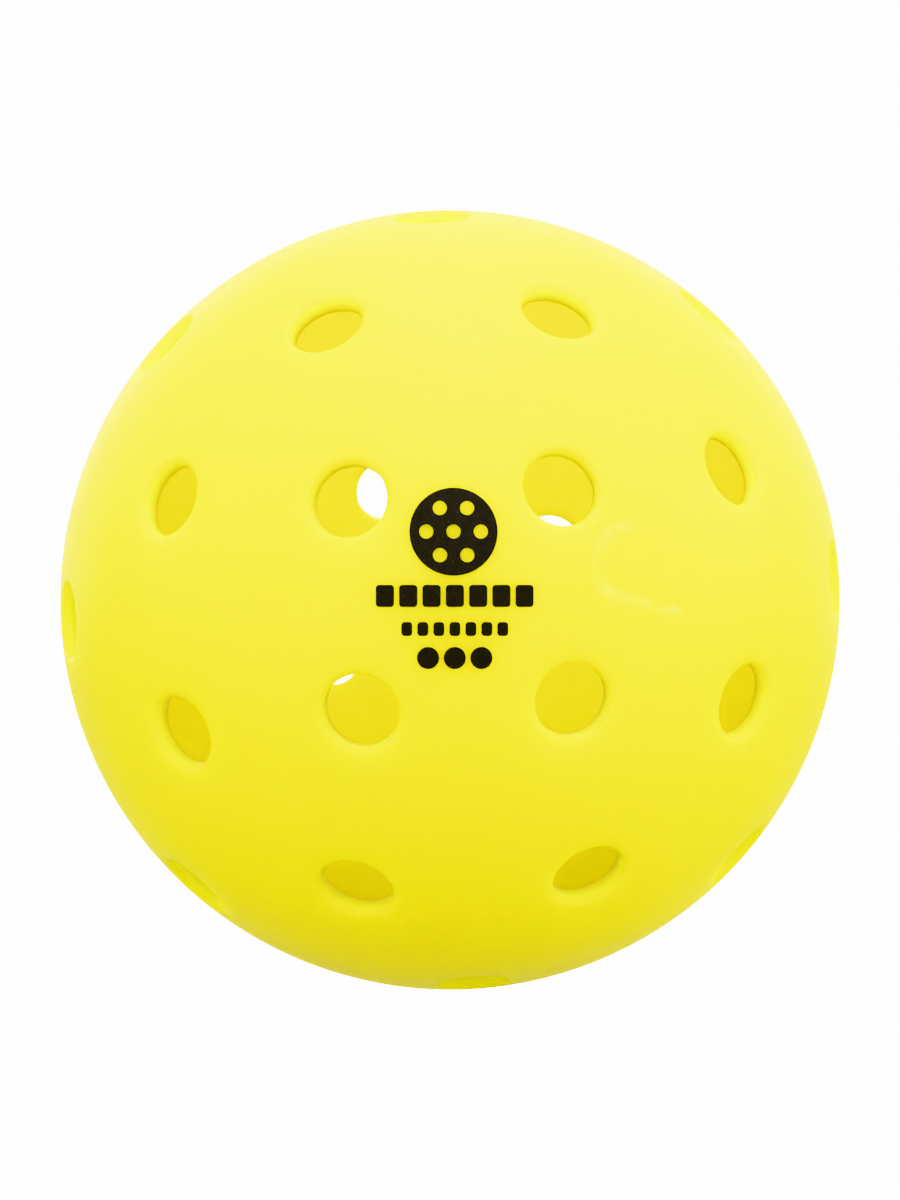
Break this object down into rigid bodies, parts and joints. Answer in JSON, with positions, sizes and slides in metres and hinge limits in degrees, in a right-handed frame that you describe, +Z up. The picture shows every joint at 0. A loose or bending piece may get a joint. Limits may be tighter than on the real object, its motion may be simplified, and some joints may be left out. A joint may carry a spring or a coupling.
{
  "type": "pickleball ball",
  "caption": "Hollow plastic pickleball ball of welded half shells, pierced all over with rounded holes, with a plain printed mark on its front.",
  "frame": {"origin": "centre of the ball", "axes": "+Z is up as the printed mark reads, -Y points out through the middle of the printed half, on the axis of the hole pattern, and +X is to the right as the mark is read; the halves meet in the plane y = 0"},
  "size_m": [0.074, 0.0741, 0.074],
  "materials": {
    "yellow_plastic": "satin moulded polyethylene, a little translucent",
    "weld_plastic": "smooth fused polyethylene of the same yellow",
    "black_ink": "matt pad-printed ink"
  },
  "bodies": {
    "root": {"front_shell": "yellow_plastic", "rear_shell": "yellow_plastic", "weld_bead": "weld_plastic", "print_emblem": "black_ink", "print_long_row": "black_ink", "print_short_row": "black_ink", "print_dot_left": "black_ink", "print_dot_middle": "black_ink", "print_dot_right": "black_ink"}
  },
  "joints": []
}
